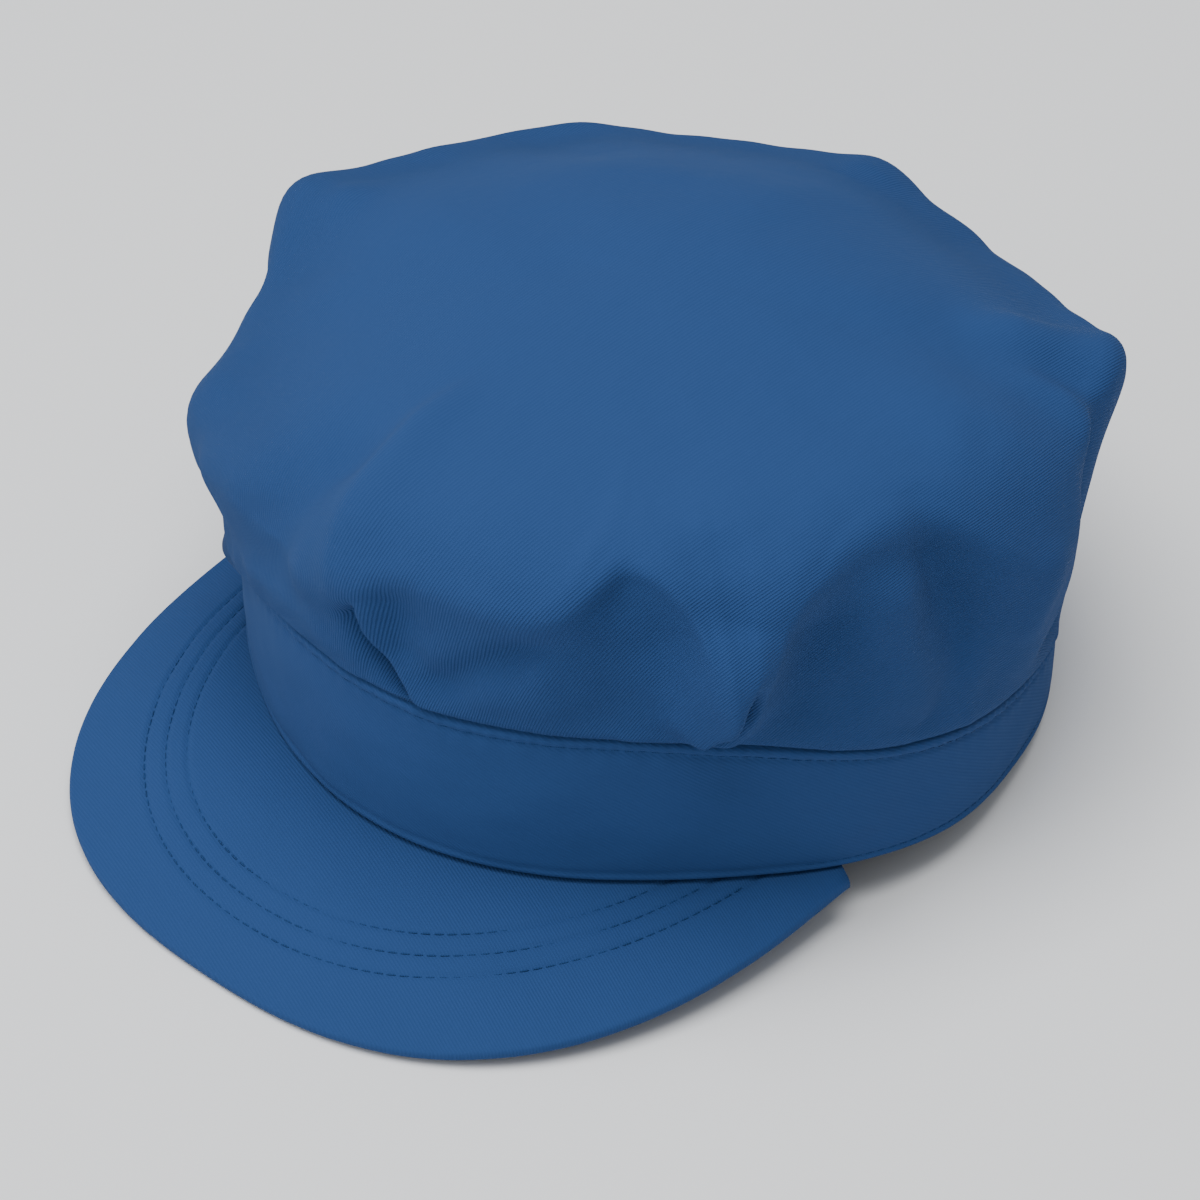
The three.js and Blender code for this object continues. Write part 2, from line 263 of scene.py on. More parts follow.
def column(name, at):
    """One column of the sections in any direction: a periodic cubic Hermite curve whose slope
    at each row is that between the rows on both sides of it."""
    values = SECTIONS[:, SECTION_COLUMNS.index(name)]
    places = SECTIONS[:, 0]
    place = np.concatenate([places[-2:] - 360, places, places[:2] + 360])
    value = np.concatenate([values[-2:], values, values[:2]])
    slope = (value[2:] - value[:-2]) / (place[2:] - place[:-2])
    place = place[1:-1]
    value = value[1:-1]
    here = (np.asarray(at, float) - places[0]) % 360 + places[0]
    row = np.searchsorted(place, here, side="right") - 1
    length = place[row + 1] - place[row]
    u = (here - place[row]) / length
    start = (1 + 2 * u) * (1 - u) ** 2 * value[row] + u * (1 - u) ** 2 * length * slope[row]
    end = u * u * (3 - 2 * u) * value[row + 1] + u * u * (u - 1) * length * slope[row + 1]
    return start + end


def polar(at, radius, height):
    """(radius sin at, -radius cos at, height)."""
    turn = np.radians(at)
    x = radius * np.sin(turn)
    y = -radius * np.cos(turn)
    return np.stack(np.broadcast_arrays(x, y, height), axis=-1)


def band_foot(at):
    """Height of the band's lower edge: it rises to the front as the cap tips back."""
    y = -column("foot", at) * np.cos(np.radians(at))
    return np.maximum(0, (REST_LINE_Y - y) * math.tan(math.radians(TIP_BACK)))


def band_top(at):
    """Height of the band's upper edge, its foot plus its own height."""
    return band_foot(at) + column("band", at)


# Where the crown's cloth leaves the seam, against the band's radius and top edge, the place that
# the belly is measured from, and how droop moves the lip
ROOT = (-1.35, -2.2)
NECK = (-1.5, 0.2)
OVER = (-0.2, 0.9)
LIP = (1.1, 1.55)
SIDE_FOOT = (1.9, 0.3)
LIP_DROOP_OUT = 0.33
LIP_DROOP_DOWN = 1.35


def crown_smooth(at, climb):
    """Catmull-Rom curve in each direction through the seam, lip, belly, shoulder, brow, crest
    and middle of the crown; climb is -3 at the root of the seam and 5 in the middle."""
    foot = column("foot", at)
    top = band_top(at)
    droop = column("droop", at)
    shoulder = (column("shoulder", at), column("shoulder_up", at))
    hang = LIP_DROOP_DOWN * np.maximum(droop - 1, 0)
    lip = (foot + LIP[0] + LIP_DROOP_OUT * droop, top + LIP[1] - hang)
    side = (foot + SIDE_FOOT[0], top + SIDE_FOOT[1] - droop)
    belly = (
        side[0] + BELLY_OUT * (shoulder[0] - side[0]) + column("bulge", at),
        side[1] + BELLY_UP * (shoulder[1] - side[1]),
    )
    brow = (shoulder[0] * BROW_IN, column("brow_up", at))
    crest = (shoulder[0] * CREST_IN, CROWN_TOP - (CROWN_TOP - brow[1]) * CREST_DROP)
    knots = [
        (foot + ROOT[0], top + 2 * ROOT[1]),
        (foot + ROOT[0], top + ROOT[1]),
        (foot + NECK[0], top + NECK[1]),
        (foot + OVER[0], top + OVER[1]),
        lip,
        belly,
        shoulder,
        brow,
        crest,
        (0 * foot, CROWN_TOP + 0 * foot),
        (-crest[0], crest[1]),
    ]
    knots = np.array([np.broadcast_arrays(*knot) for knot in knots])
    step = np.clip(np.floor(climb), ROOT_CLIMB, TOP_CLIMB - 1)
    u = climb - step
    first = (step - ROOT_CLIMB).astype(int)
    a, b, c, d = [np.take_along_axis(knots, (first + k)[None, None], 0)[0] for k in range(4)]
    point = 0.5 * (
        2 * b + (c - a) * u + (2 * a - 5 * b + 4 * c - d) * u**2 + (3 * b - a - 3 * c + d) * u**3
    )
    return polar(at, point[0], point[1])


def place_on_cloth(at, climb):
    """Millimetres round the crown and up it, on its flat map."""
    return at * ROUND_MM, np.interp(climb, CLIMB_STEPS, CLIMB_MM)


def cloth_cut(at, climb):
    """The crown's cut, a disc before it was pleated: (s sin at, -s cos at), with s the way down
    the cloth from the middle of the top."""
    down = CLIMB_MM[-1] - place_on_cloth(at, climb)[1]
    turn = np.radians(at)
    return down * np.sin(turn), -down * np.cos(turn)


# How much of the cut one millimetre of the cap takes: out along the top and down the side, and
# the radius inside which the top is taken as flat
CUT_OUT = 0.87
CUT_DOWN = 1.15
CUT_FLAT = 30


def cut_where(points):
    """Where each point of the crown lies on its cut: s along its own direction in plan, with
    s = CUT_OUT r + CUT_DOWN (top - z) r^2 / (r^2 + CUT_FLAT^2)."""
    radius = np.hypot(points[..., 0], points[..., 1])
    drop = (CROWN_TOP - points[..., 2]) * radius / (radius**2 + CUT_FLAT**2)
    return points[..., :2] * (CUT_OUT + CUT_DOWN * drop)[..., None]


def folds_out(at, climb):
    """Sum of the soft folds. With s measured across a fold over its half width on that side, each
    is (out - 1.6 tilt s) e^-s^2, with a smooth rise and fall at its ends over 1/3.6 of its
    length. Its bend is a parabola."""
    total = np.zeros(at.shape)
    for row in FOLDS.values():
        fold = dict(zip(FOLD_COLUMNS, row))
        start = np.array(place_on_cloth(fold["at"], fold["climb"]))
        reach = np.array(place_on_cloth(fold["to_at"], fold["to_climb"])) - start
        length = np.hypot(*reach)
        line = reach / length
        x = turned(at - fold["at"]) * ROUND_MM
        y = place_on_cloth(at, climb)[1] - start[1]
        along = (x * line[0] + y * line[1]) / length
        across = x * line[1] - y * line[0] - fold["bend"] * 4 * along * (1 - along)
        s = across / np.where(across < 0, fold["left"], fold["right"])
        fade = smooth(along * FOLD_FADE) * smooth((1 - along) * FOLD_FADE)
        total += (fold["out"] - FOLD_TILT * fold["tilt"] * s) * bell(s) * fade
    return total


def pleat_drift(pleat, climb):
    """Degrees by which a pleat's edge has gone round at a climb c: lean c + bow c^2, up to where
    it has opened out."""
    c = np.clip(climb, 0, pleat["top"])
    return pleat["lean"] * c + pleat["bow"] * c * c


def pleats_out(at, climb, inside):
    """Sum of the pleats as (height, sideways). With s measured across a pleat from its edge, the
    cloth on one side dives by e^-(s/reach)^1.4; on the other it rises over a quarter round to the
    lip, which sinks back by e^-(s/back)^2 and leans over the dive. Inside there is one soft
    hollow."""
    height = np.zeros(at.shape)
    sideways = np.zeros(at.shape)
    for row in PLEATS.values():
        pleat = dict(zip(PLEAT_COLUMNS, row))
        edge = pleat["at"] + pleat_drift(pleat, climb)
        s = pleat["covers"] * turned(at - edge) * ROUND_MM
        start = PLEAT_RISE if pleat["foot"] > GATHER_FOOT else GATHER_RISE
        share = smooth((climb - pleat["foot"]) / start)
        share = share * smooth((pleat["top"] - climb) / (PLEAT_OPENS * pleat["top"]))
        if inside:
            hollow = bell(s / (pleat["reach"] + INSIDE_WIDER))
            height -= (pleat["dive"] + INSIDE_DEEPER) * hollow * share
            continue
        under = -pleat["dive"] * np.exp(-(np.abs(s) / pleat["reach"]) ** PLEAT_DIVE_POWER)
        rise = np.sqrt(np.clip(1 - (1 - np.clip(s / PLEAT_ROLL, 0, 1)) ** 2, 0, 1))
        cover = pleat["lip"] * bell(s / pleat["back"])
        over = -pleat["dive"] + (pleat["dive"] + cover) * rise
        height += np.where(s < 0, under, over) * share
        hang = np.where(s > 0, bell((s - PLEAT_ROLL) / (LEAN_ROLLS * PLEAT_ROLL)), 0)
        sideways -= pleat["covers"] * pleat["over"] * hang * share * rise
    return height, sideways


def edge_column(name, at):
    """One column of the edge's table in any direction: straight lines between its rows, with
    their corners rounded by a mean over the directions near by."""
    values = EDGE[:, EDGE_COLUMNS.index(name)]
    total = 0
    for way, share in EDGE_ROUNDING:
        total = total + share * np.interp(at + way, EDGE[:, 0], values, period=360)
    return total


def drawn_down(at, climb, smooth_place):
    """The edge of the top, as a move of each point and a rise along its normal. Below the edge
    the cloth goes to the straight line from the edge to the lip at the seam. With q the way
    above the edge over its width, that takes smooth((0.6 - q) / 1.2) of it; above the edge the
    cloth stands proud by a share of q e^-(q/1.2)^2."""
    edge_climb = edge_column("climb", at)
    up = place_on_cloth(at, edge_climb)[1]
    slope = (edge_column("climb", at + 1) - edge_column("climb", at - 1)) / 2
    slope = slope * EDGE_STEP_MM / ROUND_MM
    here = place_on_cloth(at, climb)[1]
    q = (here - up) / np.hypot(1, slope) / edge_column("wide", at)
    drawn = edge_column("drawn", at)
    low = crown_smooth(at, 0 * climb)
    high = crown_smooth(at, edge_climb)
    straight = low + (high - low) * np.clip(here / up, 0, EDGE_PAST)[..., None]
    share = drawn * smooth((EDGE_START - q) / EDGE_OVER) * smooth(here / SEAM_FREE)
    proud = EDGE_PUFF * drawn * np.clip(q, 0, None) * bell(q / EDGE_OVER)
    return (straight - smooth_place) * share[..., None], proud


def top_out(place):
    """Sum of the creases of the top: out e^-(s/wide)^2 across the line of each, in plan, with a
    smooth rise and fall over a third of its length."""
    total = np.zeros(place.shape[:-1])
    for row in TOP_CREASES.values():
        crease = dict(zip(TOP_COLUMNS, row))
        start = np.array((crease["x"], crease["y"]))
        reach = np.array((crease["to_x"], crease["to_y"])) - start
        length = np.hypot(*reach)
        away = place[..., :2] - start
        along = away @ reach / length**2
        across = (away[..., 0] * reach[1] - away[..., 1] * reach[0]) / length
        fade = smooth(along * 3) * smooth((1 - along) * 3)
        total += crease["out"] * bell(across / crease["wide"]) * fade
    return total


# Waves of slack cloth: direction in degrees, length and height in millimetres, and phase; then
# how much each is bent, and how much longer the wave that bends it is
SLACK_COLUMNS = ("way", "long", "out", "phase")
SLACK = (
    (20, 46, 0.35, 0.3),
    (75, 33, 0.28, 1.9),
    (130, 27, 0.22, 4.1),
    (165, 19, 0.14, 2.6),
    (48, 15, 0.10, 5.2),
)
SLACK_BEND = 1.3
SLACK_STRETCH = 1.7


def slack_out(x, y):
    """Sum of sine waves over the cloth, each bent a little by the one across it."""
    total = np.zeros(x.shape)
    for row in SLACK:
        wave = dict(zip(SLACK_COLUMNS, row))
        turn = math.radians(wave["way"])
        pace = 2 * math.pi / wave["long"]
        along = (x * math.cos(turn) + y * math.sin(turn)) * pace
        across = (y * math.cos(turn) - x * math.sin(turn)) * pace / SLACK_STRETCH
        bend = SLACK_BEND * np.sin(across + wave["phase"])
        total += wave["out"] * np.sin(along + bend + wave["phase"])
    return total


def crown_outward(at, climb):
    """Unit normal of the smooth crown, from small steps round it and up it."""
    nudge = 0.02
    low = np.clip(climb - nudge, ROOT_CLIMB, TOP_CLIMB)
    high = np.clip(climb + nudge, ROOT_CLIMB, TOP_CLIMB)
    onward = crown_smooth(at + nudge, climb) - crown_smooth(at - nudge, climb)
    upward = crown_smooth(at, high) - crown_smooth(at, low)
    outward = np.cross(onward, upward)
    length = np.linalg.norm(outward, axis=-1, keepdims=True)
    straight_up = np.array((0.0, 0.0, 1.0))
    return np.where(length > 1e-7, outward / np.maximum(length, 1e-7), straight_up)


# Climbs between which the top loses part of its slack, and that part; where the folds start
# above the seam, hollows and swells apart; and where the creases of the top start
TOP_CALM = (2.2, 1.0, 0.7)
HOLLOW_START = (0.0, 0.5)
SWELL_START = (-0.6, 0.8)
CREASE_START = (2.0, 0.8)


def started(climb, start):
    """Smooth rise from 0 to 1 that starts at one climb and takes so many steps."""
    return smooth((climb - start[0]) / start[1])


def crown_cloth(at, climb, inside=False):
    """The smooth crown, moved along its normal by the folds, pleats, creases and slack, and
    round the cap where a pleat's lip leans over. The inside lies one wall further in."""
    smooth_place = crown_smooth(at, climb)
    outward = crown_outward(at, climb)
    height, sideways = pleats_out(at, climb, inside)
    x, y = cloth_cut(at, climb)
    out = folds_out(at, climb) + slack_out(x, y) * (1 - TOP_CALM[2] * started(climb, TOP_CALM))
    out *= np.where(out < 0, started(climb, HOLLOW_START), started(climb, SWELL_START))
    moved, proud = drawn_down(at, climb, smooth_place)
    out += proud
    out += height + top_out(smooth_place) * started(climb, CREASE_START)
    if inside:
        out -= CROWN_WALL
    turn = np.radians(at)
    round_way = np.stack([np.cos(turn), np.sin(turn), np.zeros(at.shape)], axis=-1)
    return smooth_place + moved + outward * out[..., None] + round_way * sideways[..., None]


# How finely the crown is made: degrees between its columns at the front right and elsewhere,
# steps up it between one climb and the next, how many of them make one step inside, and over
# how many degrees the columns lean with a pleat
FINE_FROM = -34
FINE_TO = 114
FINE_STEP = 0.37
COARSE_STEP = 1.1
CLIMB_ROWS = {-3: 2, -2: 3, -1: 5, 0: 24, 1: 24, 2: 24, 3: 18, 4: 12}
INNER_THIN = 4
LEAN_SPREAD = 17


def crown_grid(thin):
    """Directions and climbs of the crown's grid, with every thin-th row. The columns lean with
    the pleats, so that each pleat's edge runs along one of them."""
    fine = np.arange(FINE_FROM, FINE_TO, FINE_STEP)
    coarse = np.arange(FINE_TO, FINE_FROM + 360 - 0.5 * COARSE_STEP, COARSE_STEP)
    start = np.concatenate([fine, coarse])
    steps = [low + np.arange(0, count, thin) / count for low, count in CLIMB_ROWS.items()]
    climb = np.concatenate([*steps, [TOP_CLIMB]])
    at, climb = np.meshgrid(start, climb, indexing="ij")
    lean = np.zeros(at.shape)
    for row in PLEATS.values():
        pleat = dict(zip(PLEAT_COLUMNS, row))
        lean += pleat_drift(pleat, climb) * bell(turned(at - pleat["at"]) / LEAN_SPREAD)
    return at + lean, climb


def new_mesh(name, points, faces, uv=None):
    """A mesh of these points in millimetres, with the way that the cloth was cut as its UV map,
    also in millimetres."""
    mesh = bpy.data.meshes.new(name)
    faces = np.asarray(faces)
    mesh.vertices.add(len(points))
    mesh.vertices.foreach_set("co", (points * MM).astype(np.float32).ravel())
    corners = faces.shape[1]
    mesh.loops.add(faces.size)
    mesh.loops.foreach_set("vertex_index", faces.astype(np.int32).ravel())
    mesh.polygons.add(len(faces))
    mesh.polygons.foreach_set("loop_start", np.arange(0, faces.size, corners, dtype=np.int32))
    mesh.polygons.foreach_set("loop_total", np.full(len(faces), corners, dtype=np.int32))
    mesh.update(calc_edges=True)
    mesh.validate()
    mesh.polygons.foreach_set("use_smooth", np.ones(len(mesh.polygons), dtype=bool))
    if uv is not None:
        layer = mesh.uv_layers.new(name="cloth")
        index = np.zeros(len(mesh.loops), dtype=np.int32)
        mesh.loops.foreach_get("vertex_index", index)
        layer.data.foreach_set("uv", (uv[index] * MM).astype(np.float32).ravel())
    piece = bpy.data.objects.new(name, mesh)
    bpy.context.scene.collection.objects.link(piece)
    return piece


def grid_faces(rows, columns, joined, first=0, inward=False):
    """Four-sided faces of a grid whose points are numbered row by row; joined closes it from its
    last row to its first."""
    last = rows if joined else rows - 1
    i = np.arange(last)[:, None]
    j = np.arange(columns - 1)[None, :]
    onward = (i + 1) % rows
    faces = np.stack(
        np.broadcast_arrays(
            i * columns + j, onward * columns + j, onward * columns + j + 1, i * columns + j + 1
        ),
        axis=-1,
    ).reshape(-1, 4)
    faces = faces + first
    return faces[:, ::-1] if inward else faces


def closing_faces(rows, columns, joined):
    """Four-sided faces that join the last point of each row of a grid to its first."""
    i = np.arange(rows if joined else rows - 1)
    onward = (i + 1) % rows
    last = columns - 1
    return np.stack(
        [i * columns + last, onward * columns + last, onward * columns, i * columns], axis=-1
    )


def crown_piece():
    """Outer cloth, inner cloth and the raw edge between them, whose faces join the two."""
    parts = []
    uvs = []
    faces = []
    first = 0
    for inside in (False, True):
        at, climb = crown_grid(INNER_THIN if inside else 1)
        points = crown_cloth(at, climb, inside)
        rows, columns = at.shape
        parts.append(points.reshape(-1, 3))
        uvs.append(cut_where(points).reshape(-1, 2))
        faces.append(grid_faces(rows, columns, True, first, inward=inside))
        rim = first + np.arange(rows) * columns
        faces.append(np.stack([np.roll(rim, -1), rim], axis=-1))
        first += rows * columns
    outer, outer_rim, inner, inner_rim = faces
    raw_edge = np.concatenate([outer_rim, inner_rim[:, ::-1]], axis=1)
    faces = np.concatenate([outer, inner, raw_edge])
    piece = new_mesh("crown_cloth", np.concatenate(parts), faces, np.concatenate(uvs))
    weld_poles(piece)
    return piece


def weld_poles(piece):
    """Makes one point of each ring of points that all lie in the same place."""
    work = bmesh.new()
    work.from_mesh(piece.data)
    bmesh.ops.remove_doubles(work, verts=work.verts, dist=1e-7)
    work.to_mesh(piece.data)
    work.free()


# Band: a strip doubled over, whose outer layer stands round the crown's raw edge. Its sections
# are BAND_STEP degrees apart, and its layers BAND_LAYER thick. Then the number of points up its
# outer and inner face and round its upper corners and lower edge, how far its face swells, the
# groove that holds the crown, at its foot and at its side, and how far below that the inner
# face starts.
BAND_STEP = 0.4
BAND_LAYER = 1.1
BAND_RISE_ROWS = 56
BAND_INNER_ROWS = 12
CORNER_STEPS = 5
LOWER_STEPS = 9
BAND_BELLY = 0.3
GROOVE_DEEP = 2.5
GROOVE_SIDE = 1.5
INNER_DOWN = 1

# The row of stitches under the top edge, the bead that stands up above it and is drawn in at each
# stitch, and the row along the lower hem, where the band is clear of the peak
TOP_STITCH_DOWN = 3.1
TOP_OUT = 0.6
TOP_DRAWN = 0.22
HEM_UP = 1.7
HEM_FROM = 62
HEM_OUT = 0.175
HEM_TURN = 0.6
STITCH_GROOVE = 0.32
STITCH_GROOVE_WIDE = 0.75

# Puckers below the top stitches: height, distance from the top edge and half width, and the
# waves in radians a millimetre; how much of the slack the band has, and its stretch upwards; and
# how far from its lower and its upper edge the band lies still
PUCKER_OUT = 0.10
PUCKER_DOWN = 3.5
PUCKER_WIDE = 3
PUCKER_WAVE = 1.1
PUCKER_STRAY = (0.8, 0.23)
BAND_SLACK = 0.35
BAND_SLACK_UP = 1.6
STILL_LOW = 3
STILL_TOP = 2

# Stitches: their length and the gap between two; the thread's radius, across and up; the sides
# and rings of each, and how closed its ends are; and how far it stands out of the band and up
# from the bottom of the peak's grooves
STITCH_LONG = 2.0
STITCH_GAP = 0.7
STITCH_PITCH = STITCH_LONG + STITCH_GAP
THREAD_WIDE = 0.17
THREAD_TALL = 0.12
THREAD_SIDES = 8
THREAD_RINGS = 6
THREAD_TIP = 0.02
THREAD_PROUD = 0.02
THREAD_RAISED = 0.05


def quarter(count, radius, start):
    """A quarter round of that radius, as steps (out, up) from its centre, turning to the left."""
    turn = np.radians(start + 90 * np.arange(count) / (count - 1))
    return radius * np.cos(turn), radius * np.sin(turn)


def band_profile(at):
    """The band's section: up its outer face, over the rounded top edge, down into the groove
    that holds the crown, over the inner layer, down inside, and round the turned lower edge."""
    foot = column("foot", at)[:, None]
    low = band_foot(at)[:, None]
    high = band_top(at)[:, None]
    tall = high - low
    edge = BAND_LAYER / 2
    up = np.linspace(0, 1, BAND_RISE_ROWS)[None, :]
    rise = low + edge + (tall - 2 * edge) * up
    from_top = high - rise
    from_low = rise - low
    press = -STITCH_GROOVE * bell((from_top - TOP_STITCH_DOWN) / STITCH_GROOVE_WIDE)
    press = press - STITCH_GROOVE * bell((from_low - HEM_UP) / STITCH_GROOVE_WIDE)
    puff = BAND_BELLY * np.sin(np.pi * up) + HEM_OUT * smooth((HEM_UP - from_low) / HEM_TURN)
    x = at[:, None] * ROUND_MM
    bead = np.sin(np.pi * np.clip(from_top / TOP_STITCH_DOWN, 0, 1))
    puff = puff + TOP_OUT * bead * (1 + TOP_DRAWN * np.sin(x * 2 * np.pi / STITCH_PITCH))
    wave = np.sin(x * PUCKER_WAVE + PUCKER_STRAY[0] * np.sin(x * PUCKER_STRAY[1]))
    pucker = PUCKER_OUT * bell((from_top - PUCKER_DOWN) / PUCKER_WIDE) * wave
    pucker = pucker + BAND_SLACK * slack_out(x + 0 * rise, rise * BAND_SLACK_UP)
    loose = smooth(from_low / STILL_LOW) * smooth(from_top / STILL_TOP)
    section = [(foot + (press + puff + pucker * loose), rise)]
    for start in (0, 90):
        round_out, round_up = quarter(CORNER_STEPS, edge, start)
        section.append((foot - edge + round_out[1:], high - edge + round_up[1:]))
    groove_out = np.array([-BAND_LAYER, -BAND_LAYER, -BAND_WALL])
    groove_up = np.array([-GROOVE_SIDE, -GROOVE_DEEP, -GROOVE_DEEP])
    section.append((foot + groove_out, high + groove_up))
    down = np.linspace(1, 0, BAND_INNER_ROWS)
    inner_tall = tall - GROOVE_DEEP - INNER_DOWN
    section.append(np.broadcast_arrays(foot - BAND_WALL, low + edge + inner_tall * down))
    under = np.radians(np.linspace(180, 360, LOWER_STEPS))[1:-1]
    half = BAND_WALL / 2
    section.append((foot - half + half * np.cos(under), low + edge * (1 + np.sin(under))))
    radius = np.concatenate([part[0] for part in section], axis=1)
    height = np.concatenate([part[1] for part in section], axis=1)
    return radius, height


def band_piece():
    """The band's section carried round the cap, and its cut as millimetres along and up it."""
    at = np.arange(-180, 180, BAND_STEP)
    radius, height = band_profile(at)
    points = polar(at[:, None], radius, height)
    rows, columns = radius.shape
    wrapped = np.concatenate([points, points[:, :1]], axis=1)
    along = np.linalg.norm(np.diff(wrapped, axis=1), axis=-1)
    up = np.concatenate([np.zeros((rows, 1)), np.cumsum(along, axis=1)], axis=1)[:, :columns]
    uv = np.stack([np.broadcast_to(at[:, None] * ROUND_MM, up.shape), up], axis=-1)
    faces = np.concatenate([grid_faces(rows, columns, True), closing_faces(rows, columns, True)])
    return new_mesh("band_cloth", points.reshape(-1, 3), faces, uv.reshape(-1, 2))


# Peak: rows of stitching as superellipses round the same centre as its rim, with the half width
# and length of each; the groove that each presses in, and how much of it shows underneath
ROW_SQUARENESS = 2.2
PEAK_ROWS = ((74, 89), (69.5, 84.5), (65, 80))
ROW_GROOVE = 0.38
ROW_GROOVE_WIDE = 0.6
ROW_UNDERNEATH = 0.6

# The peak's grid, the share of the slack that it has and its stretch ahead, and how round its rim
# is against a half round
PEAK_ACROSS = 96
PEAK_ALONG = 240
PEAK_EDGE_STEPS = 7
PEAK_SLACK = 0.25
PEAK_SLACK_AHEAD = 1.3
RIM_ROUND = 0.9

# How rows of stitches are laid on the peak: how far they go under the band, the number of nearest
# points, a distance that is near enough to one, and the length of the running mean
UNDER_BAND = 0.6
NEAREST = 3
NEAR_ENOUGH = 0.05
EVEN_OUT = 9


def peak_curve(turn, squareness, half_width, length):
    """The peak's rim or a row of its stitches in plan, for a turn of -90 to 90 degrees round the
    centre: each of sine and cosine to the power of 2 over the squareness."""
    angle = np.radians(turn)
    side = np.abs(np.sin(angle)) ** (2 / squareness) * np.sign(turn)
    ahead = np.abs(np.cos(angle)) ** (2 / squareness)
    return PEAK_CENTRE[0] + half_width * side, PEAK_CENTRE[1] - length * ahead


def row_distance(x, y, half_width, length):
    """Rough distance from a row of stitching in plan: (level - 1) over the level's slope, with
    level = (|x/a|^p + |y/b|^p)^(1/p)."""
    p = ROW_SQUARENESS
    across = np.abs(x - PEAK_CENTRE[0]) / half_width
    ahead = np.abs(np.minimum(y - PEAK_CENTRE[1], 0)) / length
    level = np.maximum((across**p + ahead**p) ** (1 / p), 1e-6)
    slope = np.hypot(across ** (p - 1) / half_width, ahead ** (p - 1) / length) * level ** (1 - p)
    return (level - 1) / np.maximum(slope, 1e-6)


def peak_grid():
    """Turns round the outline's centre, and shares of the way from the band to the rim."""
    turn = np.linspace(-90, 90, PEAK_ALONG + 1)
    across = np.linspace(0, 1, PEAK_ACROSS + 1)
    return np.meshgrid(turn, across, indexing="ij")


def peak_top(turn, across):
    """Top of the peak from the band (across 0) to the rim (across 1): straight lines raised by a
    sine, which is highest half way."""
    at = turn / 90 * PEAK_SPREAD
    root = polar(at, column("foot", at) - BAND_WALL, band_foot(at) - PEAK_ROOT_DOWN)
    x, y = peak_curve(turn, PEAK_SQUARENESS, PEAK_HALF_WIDTH, PEAK_LENGTH)
    drop = PEAK_RIM_DROP_BACK * (y - PEAK_CENTRE[1] + PEAK_LENGTH) / PEAK_LENGTH
    tip = np.stack(np.broadcast_arrays(x, y, drop + PEAK_WALL), axis=-1)
    reach = np.linalg.norm(tip - root, axis=-1) / PEAK_LENGTH
    point = root + (tip - root) * across[..., None]
    point[..., 2] += PEAK_DOME * reach * np.sin(np.pi * across)
    return point


def peak_relief(x, y):
    """Grooves that the rows of stitching press in: each is -e^-(distance/width)^2."""
    out = np.zeros(x.shape)
    for half_width, length in PEAK_ROWS:
        out -= ROW_GROOVE * bell(row_distance(x, y, half_width, length) / ROW_GROOVE_WIDE)
    return out


def peak_piece():
    """Top and underside on one grid, joined by a half round along the rim and by a straight wall
    at the root."""
    turn, across = peak_grid()
    top = peak_top(turn, across)
    relief = peak_relief(top[..., 0], top[..., 1])
    slack = PEAK_SLACK * slack_out(top[..., 0], top[..., 1] * PEAK_SLACK_AHEAD)
    top[..., 2] += relief + slack * smooth(across / PEAK_ROOT_STILL)
    bottom = peak_top(turn, across)
    bottom[..., 2] += -PEAK_WALL - ROW_UNDERNEATH * relief
    half = PEAK_WALL / 2
    out_way = top[:, -1] - top[:, -3]
    out_way[:, 2] = 0
    out_way /= np.linalg.norm(out_way, axis=-1, keepdims=True)
    middle = (top[:, -1] + bottom[:, -1]) / 2
    rise = np.radians(np.linspace(90, -90, PEAK_EDGE_STEPS))[None, 1:-1, None]
    edge = middle[:, None] + half * np.cos(rise) * out_way[:, None] * RIM_ROUND
    edge = edge + half * np.sin(rise) * np.array((0, 0, 1))
    section = np.concatenate([top, edge, bottom[:, ::-1]], axis=1)
    rows, columns = section.shape[:2]
    faces = np.concatenate([grid_faces(rows, columns, False), closing_faces(rows, columns, False)])
    points = section.reshape(-1, 3)
    piece = new_mesh("peak_cloth", points, faces, points[:, :2])
    cap_ends(piece)
    return piece


def cap_ends(piece):
    """Fills the open ends of a swept piece and turns every face outwards."""
    work = bmesh.new()
    work.from_mesh(piece.data)
    rims = [edge for edge in work.edges if edge.is_boundary]
    bmesh.ops.holes_fill(work, edges=rims, sides=0)
    bmesh.ops.triangulate(work, faces=[face for face in work.faces if len(face.verts) > 4])
    bmesh.ops.recalc_face_normals(work, faces=work.faces)
    work.to_mesh(piece.data)
    work.free()


